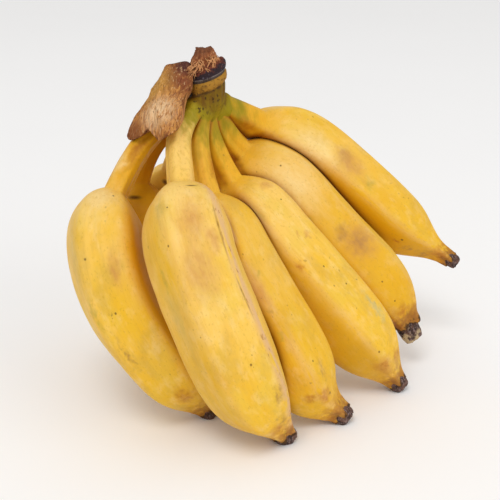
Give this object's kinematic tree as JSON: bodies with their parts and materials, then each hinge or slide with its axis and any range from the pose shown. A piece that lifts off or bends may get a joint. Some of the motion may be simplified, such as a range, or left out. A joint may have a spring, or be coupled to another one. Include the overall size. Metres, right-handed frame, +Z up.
{
  "type": "hand of bananas",
  "caption": "Hand of short thick ripe bananas on one crown with a torn stalk end and a dry husk, standing on its tips, crown up.",
  "frame": {"origin": "centre of the bounding box, on the floor plane that the tips stand on", "axes": "+Z up to the crown, -Y towards the pictured side, +X along the widest span, towards the free-hanging fruit"},
  "size_m": [0.1963, 0.1549, 0.1706],
  "materials": {
    "skin": "ripe yellow peel, waxy satin with tan bruises",
    "crown_green": "green-yellow fibrous stem flesh, satin",
    "husk": "dry brown plant fibre, rough",
    "withered": "withered dark brown tissue, rough"
  },
  "bodies": {
    "root": {"crown": "crown_green", "stalk_end": "withered", "crown_husk": "husk", "finger_outer_1": "skin", "finger_outer_2": "skin", "finger_outer_3": "skin", "finger_outer_4": "skin", "finger_outer_5": "skin", "finger_outer_6": "skin", "finger_inner_1": "skin", "finger_inner_2": "skin", "flower_end_outer_1": "withered", "flower_end_outer_2": "withered", "flower_end_outer_3": "withered", "flower_end_outer_4": "withered", "flower_end_outer_5": "withered", "flower_end_outer_6": "withered", "flower_end_inner_1": "withered", "flower_end_inner_2": "withered"}
  },
  "joints": []
}
